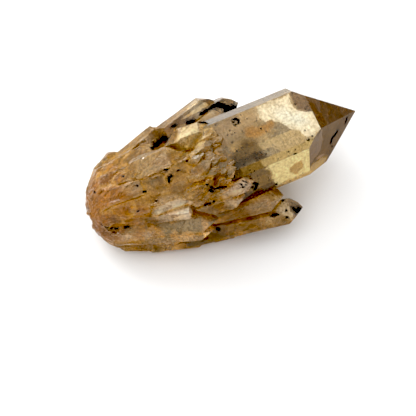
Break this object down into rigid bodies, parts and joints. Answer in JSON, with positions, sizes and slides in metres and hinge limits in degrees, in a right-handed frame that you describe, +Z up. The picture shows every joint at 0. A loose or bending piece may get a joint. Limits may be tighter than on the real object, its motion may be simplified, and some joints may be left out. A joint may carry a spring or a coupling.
{
  "type": "citrine cluster",
  "caption": "Cluster of smoky honey citrine: one large clear six-sided pointed quartz crystal with smaller cloudy crystals fanned round its root, grown together as a display mineral.",
  "frame": {"origin": "middle of the cluster's bounding box, on the ground under it", "axes": "+X along the large crystal towards its tip, +Z up, +Y away from the side that faces the viewer"},
  "size_m": [0.0616, 0.0326, 0.0245],
  "materials": {
    "citrine": "clear to cloudy natural crystal faces, honey brown, with black oxide specks and iron stain"
  },
  "bodies": {
    "root": {"citrine_cluster": "citrine"}
  },
  "joints": []
}
